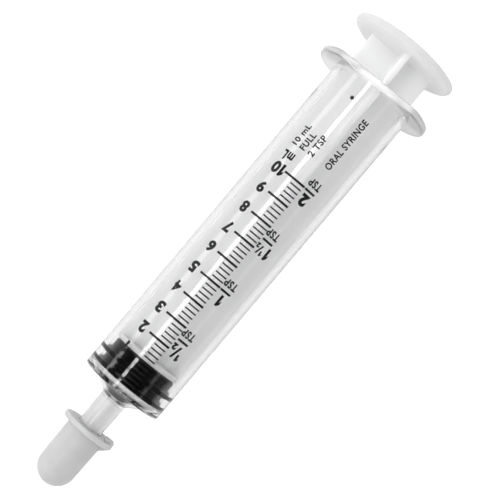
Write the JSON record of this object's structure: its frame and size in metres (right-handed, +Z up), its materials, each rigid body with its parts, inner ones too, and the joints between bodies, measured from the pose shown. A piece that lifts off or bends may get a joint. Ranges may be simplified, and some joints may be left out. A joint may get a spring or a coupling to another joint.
{
  "type": "oral syringe",
  "caption": "Oral medicine syringe with a graduated barrel, sliding rubber-tipped plunger, finger flange, round thumb rest and pull-off tip cap.",
  "frame": {"origin": "on the table, under the middle of the lying syringe's bounding box", "axes": "+X along the syringe towards the thumb rest, +Z up through the printed scale; the syringe's own axis climbs 2.0 degrees from +X towards +Z"},
  "size_m": [0.1116, 0.0264, 0.0242],
  "materials": {
    "barrel_plastic": "clear, faintly milky moulded polypropylene",
    "stopper_rubber": "smooth black rubber with a soft sheen",
    "rod_plastic": "translucent natural moulded polypropylene",
    "cap_plastic": "translucent grey-white moulded polyethylene",
    "print_ink": "black printed scale"
  },
  "bodies": {
    "barrel": {"barrel": "barrel_plastic"},
    "stopper": {"stopper": "stopper_rubber"},
    "plunger_rod": {"plunger_rod": "rod_plastic"},
    "tip_cap": {"tip_cap": "cap_plastic"}
  },
  "joints": [
    {"name": "plunger_slide", "type": "slide", "parent": "barrel", "child": "stopper", "axis": [0.9994, 0, 0.0351], "range_m": [0, 0.06]},
    {"name": "rod_turn", "type": "hinge", "parent": "stopper", "child": "plunger_rod", "pos_m": [-0.03163, 0, 0.00905], "axis": [0.9994, 0, 0.0351], "continuous": true},
    {"name": "cap_pull", "type": "slide", "parent": "barrel", "child": "tip_cap", "axis": [-0.9994, 0, -0.0351], "range_m": [0, 0.012]}
  ]
}
